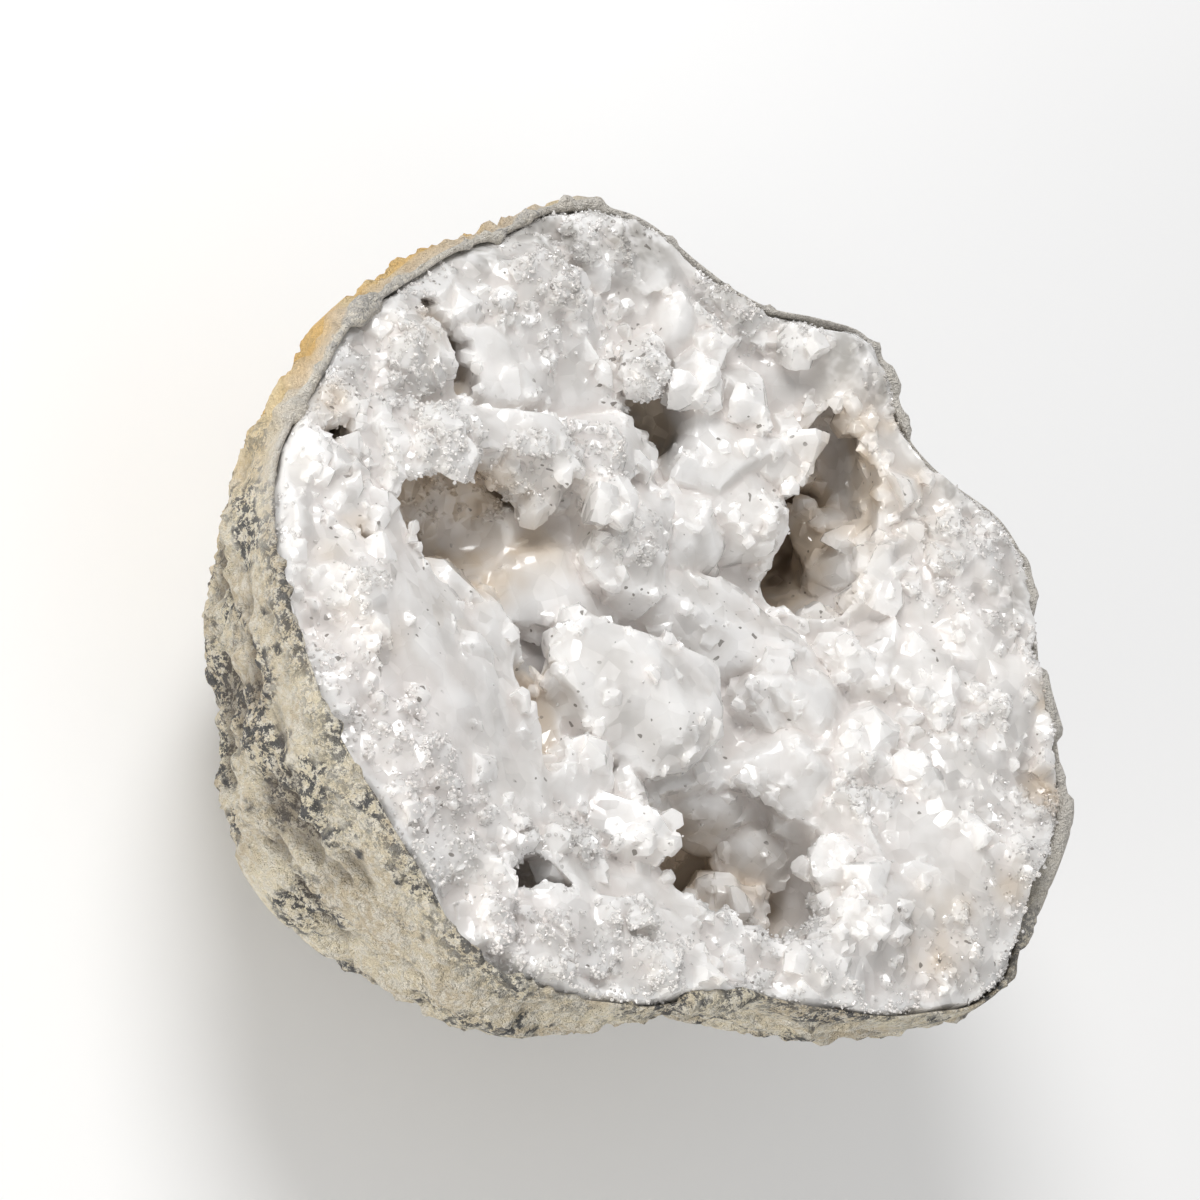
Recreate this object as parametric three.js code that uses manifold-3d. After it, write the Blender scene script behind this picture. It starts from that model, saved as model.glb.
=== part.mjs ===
// Half of a quartz geode, broken open, lying on its rounded back with the hollow facing up.
// Two pieces: the stone rind, a rough bowl with a small flat spot underneath, and the crust of
// milky quartz that grew on its inside, with lumps, open pockets and flat-faced crystals.
// Millimetres, +Z up. The origin is under the middle of the stone, on the surface it rests on.
import * as THREE from "three";
import { ImprovedNoise } from "three/addons/math/ImprovedNoise.js";
import { mergeVertices } from "three/addons/utils/BufferGeometryUtils.js";
import Module from "manifold-3d";

const wasm = await Module();
wasm.setup();

// Driving dimensions
const RIM_HEIGHT = 42;
const GAP = 0.3;
const SEGMENTS = 50;
const WELD = 1e-3;

// The broken edge isn't level. Its waves: how many around the stone, height, and start in radians
const RIM_WAVES = [
  { count: 2, height: 1.1, start: 0.6 },
  { count: 5, height: 0.66, start: 2 },
];

// The rind, and how much thicker it is at the slab that shows beside the quartz on the far left edge
const RIND_THICKNESS = 1.3;
const SLAB = { angle: 125, extra: 1.8, sharpness: 6 };

// Bumps of the weathered stone, and finer ones on them: size across, height and place in the noise
const STONE_BUMPS = [
  { size: 9, height: 1.5, start: 7 },
  { size: 9 / 2.1, height: 0.75, start: 0 },
];

// Bumps of the quartz masses, large and fine: their spread, how much finer the second is, and depths
const MASS_BUMPS = { spread: 1.6, finer: 2.3, depths: [0.34, 0.16] };
const WIDE_MASS = 8;

// The block that cuts the flat spot, the height to which the hollow is open, and to which quartz may stand
const BLOCK_SIDE = 120;
const BLOCK_HEIGHT = 20;
const OPEN_ABOVE = 12;
const QUARTZ_ABOVE = 8;

// All places below are measured from the hollow's axis. The middle of the stone is beside it
const MIDDLE = [4.2, 2.2];

// Distance from the axis to the outside of the rim, every 15 degrees from +X towards +Y
const RIM_RADII = [
  42.5, 43, 36, 39.6, 34.4, 36.4, 39.4, 36, 35.6, 35.8, 36.2, 38,
  36.6, 35.6, 35, 36, 38, 36.8, 35, 35.2, 39.8, 46.5, 46, 45.5,
];

// How far the weathered back swells beyond a plain bowl, every 30 degrees
const SWELLS = [0, 0, 0, -0.5, 0, -2.8, -3, 3, -1.4, -3.2, -2.2, 0];

// Profiles of the bowl: share of the rim's radius, and height
const OUTSIDE = [
  [0, -2], [0.24, -1.2], [0.44, 1.8], [0.63, 6.6], [0.8, 13.4], [0.94, 21.4],
  [1.02, 29], [1.045, 35.5], [1.03, 39.6], [1, RIM_HEIGHT], [0.93, RIM_HEIGHT + 0.5], [0, RIM_HEIGHT],
];
const INSIDE = [
  [0, 5.2], [0.36, 6.4], [0.6, 10.4], [0.78, 16.2], [0.92, 23.4],
  [0.995, 30.4], [1.02, 36.4], [1, RIM_HEIGHT + 0.6],
];

// The hollow's floor: an oval dish in the quartz, whose lumps and pockets follow below
const DISH = { centre: [6, 1], radii: [30, 31], depth: 7, lip: 0.6, flat: 0.3, edge: 1.1 };
const DISH_BUMPS = { height: 1.6, size: 6 };

// The slab of quartz that the dish is in: rings of its top, share of the rim's radius, and lowest height
const SLAB_RINGS = 13;
const SLAB_REACH = 1.1;
const SLAB_FLOOR = 2;

// Rounded masses of quartz: centre, half sizes, turn about +Z in degrees
const LUMPS = [
  { at: [-17, -7, 36], size: [8.5, 9.5, 4], turn: 10 },
  { at: [-24, -13, 37], size: [8, 7, 3.5], turn: 30 },
  { at: [-18, -19, 37], size: [8, 6, 3.5], turn: -40 },
  { at: [-9, -15.5, 35.5], size: [6.5, 5.5, 4.5], turn: 0 },
  { at: [-3, -17, 35], size: [5, 4, 3.5], turn: 20 },
  { at: [-11, -21, 35], size: [5, 3.5, 3.5], turn: -20 },
  { at: [0, -7.5, 35.5], size: [9, 7.5, 5], turn: 15 },
  { at: [14, 1.5, 33.5], size: [12.5, 5, 5], turn: -32 },
  { at: [2, 7.5, 35], size: [5, 5, 4.5], turn: 0 },
  { at: [-5, 3, 33.5], size: [8, 6, 3.5], turn: 20 },
  { at: [-26, 12, 38.5], size: [5, 4, 2.5], turn: 0 },
  { at: [-18, 14, 38.5], size: [5.5, 4.5, 2.5], turn: 0 },
  { at: [-9, 13, 38], size: [6, 4.5, 3], turn: -10 },
  { at: [-3, 13, 37.5], size: [4.5, 4, 3], turn: 0 },
  { at: [-21, 24, 38.5], size: [4, 4, 2.5], turn: 0 },
  { at: [-12, 22, 37.5], size: [6, 6, 3.5], turn: 30 },
  { at: [-18, 29, 40], size: [4, 3, 2], turn: 0 },
  { at: [-6, 29, 38], size: [7, 6, 3.5], turn: 0 },
  { at: [2, 34, 39.5], size: [5, 4, 2.5], turn: 0 },
  { at: [7, 27, 36.5], size: [5.5, 6, 4.5], turn: 0 },
  { at: [12.5, 20.5, 36], size: [7, 7, 5], turn: 20 },
  { at: [15, 14, 35.5], size: [5, 5, 4], turn: 0 },
  { at: [9, 11.5, 34.5], size: [4.5, 5, 4], turn: 0 },
  { at: [22, 29, 38], size: [6, 5, 3.5], turn: -20 },
  { at: [30, 24, 37.5], size: [6, 6, 4], turn: 40 },
  { at: [32, 16, 34.5], size: [6, 6, 4], turn: 0 },
  { at: [29, 8, 35.5], size: [7, 5, 4], turn: 10 },
  { at: [37, 7, 38], size: [6, 6, 3.5], turn: 0 },
  { at: [36, -2, 37.5], size: [7, 6, 3.5], turn: 0 },
  { at: [27, -1, 35.5], size: [6, 5, 3.5], turn: 0 },
  { at: [19, -5, 34.5], size: [6, 4.5, 3.5], turn: -20 },
  { at: [17, -12, 33.5], size: [6, 5.5, 4.5], turn: 0 },
  { at: [26, -10, 35], size: [7, 6, 4.5], turn: 20 },
  { at: [34, -11, 37], size: [6.5, 6.5, 3.5], turn: 0 },
  { at: [31, -19, 36.5], size: [7, 6, 3.5], turn: -10 },
  { at: [22, -19, 35], size: [5.5, 4.5, 4], turn: 0 },
  { at: [37, -20, 38.5], size: [5, 5, 2.5], turn: 0 },
  { at: [33, -27, 38.5], size: [6, 5, 2.5], turn: 20 },
  { at: [24, -28, 38], size: [6, 4.5, 2.5], turn: 0 },
  { at: [14, -30, 38], size: [6, 3.5, 2.5], turn: 0 },
  { at: [5, -31, 38.5], size: [5.5, 3, 2.5], turn: 0 },
  { at: [-4, -31, 38], size: [6, 3.5, 2.5], turn: 0 },
  { at: [-13, -30.5, 38.5], size: [6, 4, 2.5], turn: -10 },
  { at: [-20, -26.5, 38.5], size: [5, 4, 2.5], turn: -40 },
];

// Openings between and under the lumps: centre, half sizes, turn about +Z in degrees
const POCKETS = [
  { at: [-17, 7, 38], size: [8, 5.5, 6], turn: -15 },
  { at: [-16.5, 23, 38], size: [1.7, 3.8, 6], turn: 15 },
  { at: [3, 20, 33], size: [3.8, 3.2, 10], turn: 0 },
  { at: [22.5, 14, 35], size: [5.6, 9.5, 12], turn: -15 },
  { at: [-10, -9.5, 37], size: [1.7, 5, 5.5], turn: 0 },
  { at: [11, -20, 34], size: [9.5, 6.5, 12], turn: 0 },
  { at: [-13, -25.5, 37], size: [6.5, 2.2, 6], turn: -20 },
  { at: [-30.5, 14.5, 40], size: [2.4, 1.3, 5], turn: 0 },
  { at: [-28.5, 4, 40], size: [1.2, 1.5, 3.5], turn: 0 },
];

// The larger six-sided crystals: foot, tip and half width
const CRYSTALS = [
  { foot: [5, 28, 35], tip: [2, 20.5, 39.5], width: 2.4 },
  { foot: [10, 27, 36], tip: [8, 20.5, 41], width: 2.2 },
  { foot: [15, 18, 35], tip: [21, 16, 39], width: 2.7 },
  { foot: [-7, -16.5, 34], tip: [2, -21.5, 39], width: 3.4 },
  { foot: [-9, -19, 33], tip: [-6, -25, 38.5], width: 2.6 },
  { foot: [26, -18.5, 34.5], tip: [15.5, -22, 38.5], width: 2.7 },
  { foot: [31, -14.5, 34], tip: [28, -11.5, 41], width: 2.6 },
  { foot: [27, -4, 31], tip: [23, 0, 39.5], width: 2.3 },
  { foot: [12, -27, 31], tip: [8, -25, 38], width: 1.8 },
  { foot: [18, -28, 32], tip: [15, -25, 39.5], width: 1.9 },
  { foot: [2, -29, 32], tip: [4, -26, 38.5], width: 1.8 },
  { foot: [-22, 25, 35], tip: [-19, 21.5, 41.5], width: 2.2 },
];

// The small crystal on each lump: how far it stands out, its half width, and how both vary. Each one
// is turned on from the last, and leans outward from its lump's middle by a share of the upright
const SMALL_CRYSTAL = { proud: 1.75, width: 1.7, varies: 0.3, sunk: 0.7, turn: 2.4 };
const SMALL_LEAN = { mean: 0.55, varies: 0.25, upright: 0.4 };

// The pointed end of a crystal: its length in half widths, and the most of the crystal it takes
const POINT = { length: 1.3, most: 0.7 };
const CRYSTAL_SIDES = 6;

const perlin = new ImprovedNoise();
const turnOf = Math.PI / 180;

// A list's value at an angle, rounded between its evenly spaced directions
function aroundList(list, angle) {
  const place = ((angle / (2 * Math.PI)) * list.length + list.length) % list.length;
  const before = Math.floor(place);
  const [a, b, c, d] = [-1, 0, 1, 2].map((step) => list[(before + step + list.length) % list.length]);
  const t = place - before;
  return b + 0.5 * t * (c - a + t * (2 * a - 5 * b + 4 * c - d + t * (3 * (b - c) + d - a)));
}

function rimRadius(angle) {
  return aroundList(RIM_RADII, angle);
}

function rimRise(angle) {
  return RIM_WAVES.reduce((sum, { count, height, start }) => sum + height * Math.sin(count * angle + start), 0);
}

function rindThickness(angle) {
  const towardsSlab = Math.max(0, Math.cos(angle - SLAB.angle * turnOf));
  return RIND_THICKNESS + SLAB.extra * towardsSlab ** SLAB.sharpness;
}

// Bumps and dents of the weathered stone, as a distance along the surface's outward direction
function stoneRelief(x, y, z) {
  return STONE_BUMPS.reduce(
    (sum, { size, height, start }) => sum + height * perlin.noise(x / size, y / size, z / size + start),
    0,
  );
}

// A closed geometry as a solid, its shared vertices merged and collapsed faces dropped
function solidOf(geometry) {
  const bare = geometry.clone();
  bare.deleteAttribute("normal");
  bare.deleteAttribute("uv");
  const merged = mergeVertices(bare, WELD);
  const faces = [];
  for (let i = 0; i < merged.index.count; i += 3) {
    const [a, b, c] = [0, 1, 2].map((corner) => merged.index.getX(i + corner));
    if (a !== b && b !== c && c !== a) faces.push(a, b, c);
  }
  const vertProperties = merged.attributes.position.array;
  return new wasm.Manifold(new wasm.Mesh({ numProp: 3, vertProperties, triVerts: new Uint32Array(faces) }));
}

// A solid as a flat-shaded geometry
function geometryOf(solid) {
  const mesh = solid.getMesh();
  const geometry = new THREE.BufferGeometry();
  geometry.setAttribute("position", new THREE.BufferAttribute(mesh.vertProperties, 3));
  geometry.setIndex(new THREE.BufferAttribute(mesh.triVerts, 1));
  return geometry;
}

// Turns a profile about +Z, then lets move(share, angle, height) place each point of it
function turned(profile, move) {
  const points = profile.map(([share, height]) => new THREE.Vector2(share, height));
  const geometry = new THREE.LatheGeometry(points, SEGMENTS);
  geometry.rotateX(Math.PI / 2);
  const position = geometry.attributes.position;
  for (let i = 0; i < position.count; i++) {
    const [x, y, z] = [position.getX(i), position.getY(i), position.getZ(i)];
    const share = Math.hypot(x, y);
    position.setXYZ(i, ...move(share, share > WELD ? Math.atan2(y, x) : 0, z));
  }
  return solidOf(geometry);
}

// A point of the bowl, at a share of a radius
function around(share, radius, angle, height) {
  return [share * radius * Math.cos(angle), share * radius * Math.sin(angle), height];
}

// A point of the stone's outside, or of a surface inset millimetres inside it
function stonePoint(share, angle, height, inset) {
  const level = THREE.MathUtils.clamp(height / RIM_HEIGHT, 0, 1);
  const radius = rimRadius(angle) + aroundList(SWELLS, angle) * Math.sin(Math.PI * level);
  const [x, y, z] = around(share, radius, angle, height + rimRise(angle) * level * share);
  const relief = stoneRelief(x, y, z) * Math.min(1, share);
  return around(share, radius + relief - inset, angle, z + 0.4 * relief);
}

// The space inside the rind, up to top millimetres, left smaller all round by clear
function bowlSpace(clear, top) {
  return turned([...INSIDE, [1, top], [0, top]], (share, angle, height) => {
    const lift = share < 1 && height < RIM_HEIGHT ? clear : 0;
    return stonePoint(share, angle, height + lift, rindThickness(angle) + clear);
  });
}

function rind() {
  const under = new THREE.BoxGeometry(BLOCK_SIDE, BLOCK_SIDE, BLOCK_HEIGHT).translate(0, 0, -BLOCK_HEIGHT / 2);
  const stone = turned(OUTSIDE, (share, angle, height) => stonePoint(share, angle, height, 0));
  return stone.subtract(bowlSpace(0, RIM_HEIGHT + OPEN_ABOVE)).subtract(solidOf(under));
}

// Height of the quartz before its lumps and pockets
function dishHeight(x, y) {
  const [cx, cy] = DISH.centre;
  const reach = Math.hypot((x - cx) / DISH.radii[0], (y - cy) / DISH.radii[1]);
  const hollow = 1 - THREE.MathUtils.smoothstep(reach, DISH.flat, DISH.edge);
  const bump = DISH_BUMPS.height * perlin.noise(x / DISH_BUMPS.size, y / DISH_BUMPS.size, 3);
  return RIM_HEIGHT - DISH.lip - DISH.depth * hollow + bump;
}

// A thick slab of quartz with the dish in its top, wider than the bowl that trims it
function crustSlab() {
  const profile = [[0, SLAB_FLOOR], [SLAB_REACH, SLAB_FLOOR]];
  for (let i = SLAB_RINGS; i >= 0; i--) profile.push([(SLAB_REACH * i) / SLAB_RINGS, RIM_HEIGHT]);
  return turned(profile, (share, angle, height) => {
    const [x, y] = around(share, rimRadius(angle), angle, 0);
    const rise = rimRise(angle) * Math.min(1, share) ** 3;
    return [x, y, height < RIM_HEIGHT ? height : dishHeight(x, y) + rise];
  });
}

// An uneven rounded mass, or the space of a pocket. Wide ones are drawn finer
function mass({ at, size, turn }) {
  const ball = new THREE.IcosahedronGeometry(1, Math.max(...size) > WIDE_MASS ? 2 : 1);
  const position = ball.attributes.position;
  for (let i = 0; i < position.count; i++) {
    const point = new THREE.Vector3().fromBufferAttribute(position, i);
    const place = point.toArray().map((value, axis) => MASS_BUMPS.spread * value + at[axis]);
    const bumps = MASS_BUMPS.depths.map((depth, k) => {
      const frequency = MASS_BUMPS.finer ** k;
      return depth * perlin.noise(...place.map((value) => frequency * value));
    });
    point.multiplyScalar(1 + bumps[0] + bumps[1]);
    position.setXYZ(i, ...point.toArray());
  }
  ball.scale(...size).rotateZ(turn * turnOf).translate(...at);
  return solidOf(ball);
}

// A six-sided prism that ends in a point
function crystal({ foot, tip, width }) {
  const start = new THREE.Vector3(...foot);
  const along = new THREE.Vector3(...tip).sub(start);
  const length = along.length();
  const shoulder = length - Math.min(POINT.length * width, POINT.most * length);
  const profile = [[0, 0], [width, 0], [width, shoulder], [0, length]];
  const geometry = new THREE.LatheGeometry(profile.map(([r, z]) => new THREE.Vector2(r, z)), CRYSTAL_SIDES);
  const aim = new THREE.Quaternion().setFromUnitVectors(new THREE.Vector3(0, 1, 0), along.normalize());
  geometry.applyQuaternion(aim).translate(...foot);
  return solidOf(geometry);
}

function smallCrystal({ at, size }, index) {
  const { proud, width, varies, sunk, turn } = SMALL_CRYSTAL;
  const heading = turn * index;
  const lean = SMALL_LEAN.mean + SMALL_LEAN.varies * Math.sin(5 * index);
  const up = 1 - SMALL_LEAN.upright * lean;
  const out = new THREE.Vector3(Math.cos(heading) * lean, Math.sin(heading) * lean, up);
  const away = out.normalize().toArray();
  const foot = away.map((value, axis) => at[axis] + sunk * size[axis] * value);
  const tip = away.map((value, axis) => at[axis] + (size[axis] + proud) * value);
  return { foot, tip, width: width * (1 + varies * Math.sin(3 * index)) };
}

function crust() {
  const lumps = LUMPS.map(mass);
  const pockets = POCKETS.map(mass);
  const crystals = [...CRYSTALS, ...LUMPS.map(smallCrystal)].map(crystal);
  const carved = lumps.reduce((whole, lump) => whole.add(lump), crustSlab());
  const open = pockets.reduce((whole, pocket) => whole.subtract(pocket), carved);
  const grown = crystals.reduce((whole, piece) => whole.add(piece), open);
  const trimmed = grown.intersect(bowlSpace(GAP, RIM_HEIGHT + QUARTZ_ABOVE));
  return trimmed.decompose().reduce((a, b) => (a.volume() > b.volume() ? a : b));
}

function piece(name, solid, look) {
  const geometry = geometryOf(solid).translate(-MIDDLE[0], -MIDDLE[1], 0);
  const mesh = new THREE.Mesh(geometry, new THREE.MeshStandardMaterial({ flatShading: true, ...look }));
  mesh.name = name;
  return mesh;
}

const geode = new THREE.Group();
geode.name = "quartz_geode";
geode.add(
  piece("rind", rind(), { color: 0xb5aa8e, roughness: 0.95, metalness: 0 }),
  piece("crystal_crust", crust(), { color: 0xe6e3e0, roughness: 0.3, metalness: 0 }),
);

export default geode;
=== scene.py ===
import math

import bpy
import numpy as np
from mathutils import Matrix, Vector
from mathutils.bvhtree import BVHTree


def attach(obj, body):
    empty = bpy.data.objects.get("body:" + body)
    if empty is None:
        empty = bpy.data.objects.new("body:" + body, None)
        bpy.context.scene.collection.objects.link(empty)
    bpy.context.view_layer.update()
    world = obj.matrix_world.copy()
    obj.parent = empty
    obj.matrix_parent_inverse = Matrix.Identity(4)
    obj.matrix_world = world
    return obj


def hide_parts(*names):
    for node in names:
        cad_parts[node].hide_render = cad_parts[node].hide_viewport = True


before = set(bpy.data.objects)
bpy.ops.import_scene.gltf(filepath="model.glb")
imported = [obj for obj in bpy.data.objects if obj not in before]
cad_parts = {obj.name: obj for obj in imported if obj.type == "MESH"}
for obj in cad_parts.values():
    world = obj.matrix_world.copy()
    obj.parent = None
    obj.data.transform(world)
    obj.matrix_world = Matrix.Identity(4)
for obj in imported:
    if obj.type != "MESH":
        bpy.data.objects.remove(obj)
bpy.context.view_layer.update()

# Half of a milky quartz geode. Its crust is one fine mesh from an implicit function, with nearly the
# same lumps, pockets and larger crystals as the frame's plain solid, and with many smaller ones. Its
# rind comes from rays cast at the frame's walls. Lists are in millimetres, from the hollow's axis.

MM = 0.001
SEED = 11

# What is taken off a listed place to reach the frame's own origin
MIDDLE = (4.2, 2.2)
AXIS_SHIFT = np.array([*MIDDLE, 0])

# The broken face: its height, its edge's wave, and the shallow dish in it
RIM_HEIGHT, RIM_WAVE = 42.0, 1.1
DISH = {"centre": (6, 1), "radii": (30, 31), "depth": 7, "lip": 0.6}

# Nothing rises above these heights: the broken face, the crystals on it
FACE_LIMIT, CRYSTAL_LIMIT = 43.4, 44.5
LIMIT_SOFTNESS, FACE_STEEPNESS = 0.7, 0.85

# The box and spacing of the grid for the crust's function
GRID_LOW = (-37.5, -36.5, 16.0)
GRID_HIGH = (45.0, 40.5, 46.5)
GRID_STEP = 0.34

# The crust's flat underside, which is then lowered to just above the rind's own floor
FLOOR_HEIGHT = GRID_LOW[2] + 2 * GRID_STEP
FLOOR_GAP = 0.3

# How far inside the rind's wall the crust and its crystals stay
WALL_GAP, CRYSTAL_GAP = 0.15, 0.3

# Below this height the crust's side is hidden, and this share of its triangles is saved
HIDDEN_BELOW, HIDDEN_SAVING = 38, 0.93
CRUST_TRIANGLES = 194000
SHARP_ANGLE = 28

# How softly masses meet, how far past their size they reach, and the share and number of flat faces
# of blocky and of rounded ones
LUMP_BLEND, WINDOW_MARGIN = 0.4, 3
BLOCKY, ROUNDED = (0.7, 16), (0.55, 30)

# Undoes most of what smoothing takes from random values' spread
NOISE_GAIN = 2.2

# Ripples of the broken face: size, height. Relief of the crust: also its share on smooth quartz
FACE_RIPPLES = ((9, 0.8), (4.5, 0.55), (2.2, 0.3))
CRUST_RELIEF = ((5, 0.4, 0.5), (2.6, 0.24, 0.4), (1.4, 0.14, 0.3))

# How strongly a cell's corner keeps to the middle of its crossings, and its room in the cell
PULL_TO_MEAN, CELL_ROOM = 0.08, (0.02, 0.98)

# Crystals: the slant of their end faces, how many there are, and how much they grow upward
POINT_ANGLE = math.radians(52)
LOW_CRYSTALS, DRUSE_CRYSTALS, EDGE_CRYSTALS = 1500, 2200, 900
SUGAR_COUNT = 7000
SUGAR_WIDTHS, SUGAR_RISES = (0.08, 0.2), (0.5, 1.6)
GROWTH_PULL = np.array([0, 0, 0.25])

# Crystals grow only where the crust faces up enough and lies above this height
LEAST_FACING, LEAST_OPEN_HEIGHT = -0.25, 21

# The rind's thickness at its rim, and how much more it is at the slab on the far left
RIM_THICKNESS, RIM_SLAB, SLAB_ANGLE = 0.55, 0.35, math.radians(118)

# The rind stops below the crystals by this much, and by more where the photograph shows no rind
RIM_DROP, BARE_DROP, BARE_ANGLE, BARE_REACH = 0.5, 2.0, 35, 75

# Where the rind's edge is pale, in degrees
PALE_ANGLE, PALE_REACH = 125, 50

# The rind's lowest row, how far below its top it starts to curve over, and its hollow's floor
FOOT_HEIGHT, CURVE_START, HOLLOW_FLOOR = 0.2, 0.7, 7.5

# The rind's least thickness, the height above which that counts, how far its outside may sink
# below that height, and how far it may rise
LEAST_THICKNESS, WALL_START, ROOM_BELOW, RELIEF_LIMIT = 0.45, 9, 1.5, 0.9

# How finely the rind's walls are measured, how finely it is drawn, and the kinds of its rows
WALL_ANGLES, WALL_HEIGHTS = 240, 154
RIND_ANGLES, OUTER_ROWS, RIM_ROWS, INNER_ROWS = 560, 118, 10, 16
BASE, OUTSIDE, RIM, INSIDE, FLOOR = range(5)

QUARTZ_IOR, SCATTER = 1.54, (1.0, 0.96, 0.93)
COLOURS = {
    "quartz_light": (0.80, 0.78, 0.762), "quartz_shade": (0.68, 0.655, 0.63),
    "sugar_light": (0.79, 0.77, 0.755), "sugar_shade": (0.70, 0.68, 0.66),
    # crest is a painted highlight for the quartz's convex crests
    "blush": (0.80, 0.745, 0.72), "crest": (0.88, 0.87, 0.86),
    # recess is painted shade for the quartz's recesses
    "recess": (0.68, 0.63, 0.60), "grime": (0.34, 0.32, 0.29),
    "tan": (0.64, 0.54, 0.43), "brown": (0.17, 0.12, 0.08),
    "speck": (0.12, 0.10, 0.08), "cream": (0.90, 0.81, 0.62),
    "stone_tan": (0.70, 0.60, 0.44), "grain": (0.93, 0.89, 0.80),
    "ochre": (0.90, 0.60, 0.24), "ochre_pale": (0.92, 0.74, 0.44),
    # pit is painted shade for the rind's pits
    "stone_speck": (0.06, 0.065, 0.075), "pit": (0.16, 0.13, 0.10),
    "pale_edge": (0.84, 0.80, 0.74),
}

# The view of the photograph: how far the open face leans from the lens, and the lens's distance
VIEW_TILT, VIEW_SIDE, VIEW_DISTANCE = math.radians(38), math.radians(30), 0.391
LENS, SENSOR = 135, 36
FRAME_SIZE, AIM_PIXEL = 1200, (650, 610)
LIGHT_AIM = (0, 0, 0.03)
FLOOR_SIDE = 1.5

# Rounded masses of quartz: centre, half sizes, turn about +Z in degrees, and how blocky they are
LUMPS = [
    ((-17, -7, 36), (8.5, 9.5, 4), 10, 0), ((-24, -13, 37), (8, 7, 3.5), 30, 0),
    ((-18, -19, 37), (8, 6, 3.5), -40, 1), ((-9, -15.5, 35.5), (6.5, 5.5, 4.5), 0, 1),
    ((-3, -17, 35), (5, 4, 3.5), 20, 1), ((-11, -21, 35), (5, 3.5, 3.5), -20, 1),
    ((0.5, -7.5, 36.5), (9, 7.5, 5), 15, 0), ((14, 1.5, 33.5), (12.5, 5, 5), -32, 0),
    ((2, 7.5, 35), (5, 5, 4.5), 0, 1), ((-5, 3, 33.5), (8, 6, 3.5), 20, 0),
    ((-26, 12, 38.5), (5, 4, 2.5), 0, 1), ((-18, 14, 38.5), (5.5, 4.5, 2.5), 0, 1),
    ((-9, 13, 38), (6, 4.5, 3), -10, 1), ((-3, 13, 37.5), (4.5, 4, 3), 0, 1),
    ((-21, 24, 38.5), (4, 4, 2.5), 0, 1), ((-12, 22, 37.5), (6, 6, 3.5), 30, 1),
    ((-18, 29, 40), (4, 3, 2), 0, 1), ((-6, 29, 38), (7, 6, 3.5), 0, 1),
    ((2, 34, 39.5), (5, 4, 2.5), 0, 1), ((7, 27, 36.5), (5.5, 6, 4.5), 0, 0),
    ((12.5, 20.5, 36), (7, 7, 5), 20, 0), ((15, 14, 35.5), (5, 5, 4), 0, 0),
    ((9, 11.5, 34.5), (4.5, 5, 4), 0, 0), ((22, 29, 38), (6, 5, 3.5), -20, 1),
    ((30, 24, 37.5), (6, 6, 4), 40, 1), ((32, 16, 34.5), (6, 6, 4), 0, 1),
    ((29, 8, 35.5), (7, 5, 4), 10, 1), ((37, 7, 38), (6, 6, 3.5), 0, 1),
    ((36, -2, 37.5), (7, 6, 3.5), 0, 1), ((27, -1, 35.5), (6, 5, 3.5), 0, 1),
    ((19, -5, 34.5), (6, 4.5, 3.5), -20, 0), ((17, -12, 33.5), (6, 5.5, 4.5), 0, 0),
    ((26, -10, 35), (7, 6, 4.5), 20, 1), ((34, -11, 37), (6.5, 6.5, 3.5), 0, 1),
    ((31, -19, 36.5), (7, 6, 3.5), -10, 1), ((22, -19, 35), (5.5, 4.5, 4), 0, 1),
    ((37, -20, 38.5), (5, 5, 2.5), 0, 1), ((33, -27, 38.5), (6, 5, 2.5), 20, 1),
    ((24, -28, 38), (6, 4.5, 2.5), 0, 1), ((14, -30, 38), (6, 3.5, 2.5), 0, 1),
    ((5, -31, 38.5), (5.5, 3, 2.5), 0, 1), ((-4, -31, 38), (6, 3.5, 2.5), 0, 1),
    ((-13, -30.5, 38.5), (6, 4, 2.5), -10, 1), ((-20, -26.5, 38.5), (5, 4, 2.5), -40, 1),
]

# Openings between and under the lumps: centre, half sizes, turn, and how brown their walls are
POCKETS = [
    ((-17, 7, 38), (8, 5.5, 5.2), -15, 0.5), ((-16.5, 23, 38), (1.7, 3.8, 6), 15, 0.7),
    ((3, 20, 33), (3.8, 3.2, 10), 0, 0.6), ((22.5, 14, 35), (5.6, 9.5, 12), -15, 0.7),
    ((-10, -9.5, 38.5), (1.5, 4.5, 4.2), 0, 0.3), ((9.5, -21.8, 34), (10, 7.5, 12), 0, 0.38),
    ((-13, -25.5, 37.5), (6, 1.7, 3.5), -20, 0.3), ((-30.5, 14.5, 40), (2.4, 1.3, 5), 0, 1.0),
    ((-28.5, 4, 40), (1.2, 1.5, 3.5), 0, 1.0),
]

# Rounded masses that show inside the pockets
INNER_LUMPS = [
    ((12, -14.5, 30), (4.5, 3.5, 4), 0, 0), ((17.5, -18, 29), (4, 4, 4), 0, 0),
    ((6, -15.5, 28.5), (3.5, 3, 4), 0, 0), ((13, -24, 26), (4.5, 3, 4), 0, 1),
    ((27.5, 12, 30), (3, 5, 5), 0, 1), ((24, 21, 31), (4, 3, 4), 0, 1),
]

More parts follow.
